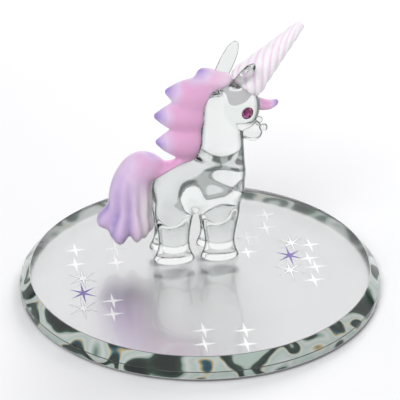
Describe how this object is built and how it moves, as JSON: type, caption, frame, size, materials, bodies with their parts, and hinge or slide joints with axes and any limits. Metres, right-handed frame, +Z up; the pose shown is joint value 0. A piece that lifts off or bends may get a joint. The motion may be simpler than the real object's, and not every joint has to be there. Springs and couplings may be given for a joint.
{
  "type": "unicorn figurine",
  "caption": "Flame-worked clear glass unicorn with frosted pink and lavender mane and tail, standing on a round bevelled glass mirror.",
  "frame": {"origin": "middle of the underside, on the plane that the bumper feet stand on", "axes": "+Z up, +X the way the unicorn faces, +Y its left side"},
  "size_m": [0.1016, 0.1016, 0.0758],
  "materials": {
    "plate_glass": "polished, with a ground and polished bevel",
    "silvering": "silvered",
    "backing_paint": "matt paint",
    "bumper": "clear satin",
    "glue": "clear",
    "clear_glass": "fire polished",
    "horn_glass": "fire polished, faint pink",
    "frosted_glass": "frosted, pink shading to lavender",
    "eye_stone": "faceted, magenta",
    "eye_foil": "dark foil"
  },
  "bodies": {
    "root": {"back_stripe": "frosted_glass", "backing_paint": "backing_paint", "bumper_feet": "bumper", "crest": "frosted_glass", "ear_left": "clear_glass", "ear_right": "clear_glass", "eye_crystal_left": "eye_stone", "eye_crystal_right": "eye_stone", "eye_foil_left": "eye_foil", "eye_foil_right": "eye_foil", "foot_glue": "glue", "forelock": "frosted_glass", "head": "clear_glass", "horn": "horn_glass", "leg_front_left": "clear_glass", "leg_front_right": "clear_glass", "leg_hind_left": "clear_glass", "leg_hind_right": "clear_glass", "mane_lock_1": "frosted_glass", "mane_lock_2": "frosted_glass", "mane_lock_3": "frosted_glass", "mane_lock_4": "frosted_glass", "mirror_glass": "plate_glass", "muzzle": "clear_glass", "neck": "clear_glass", "nostril_left": "clear_glass", "nostril_right": "clear_glass", "silver_coat": "silvering", "tail": "frosted_glass", "torso": "clear_glass"}
  },
  "joints": []
}
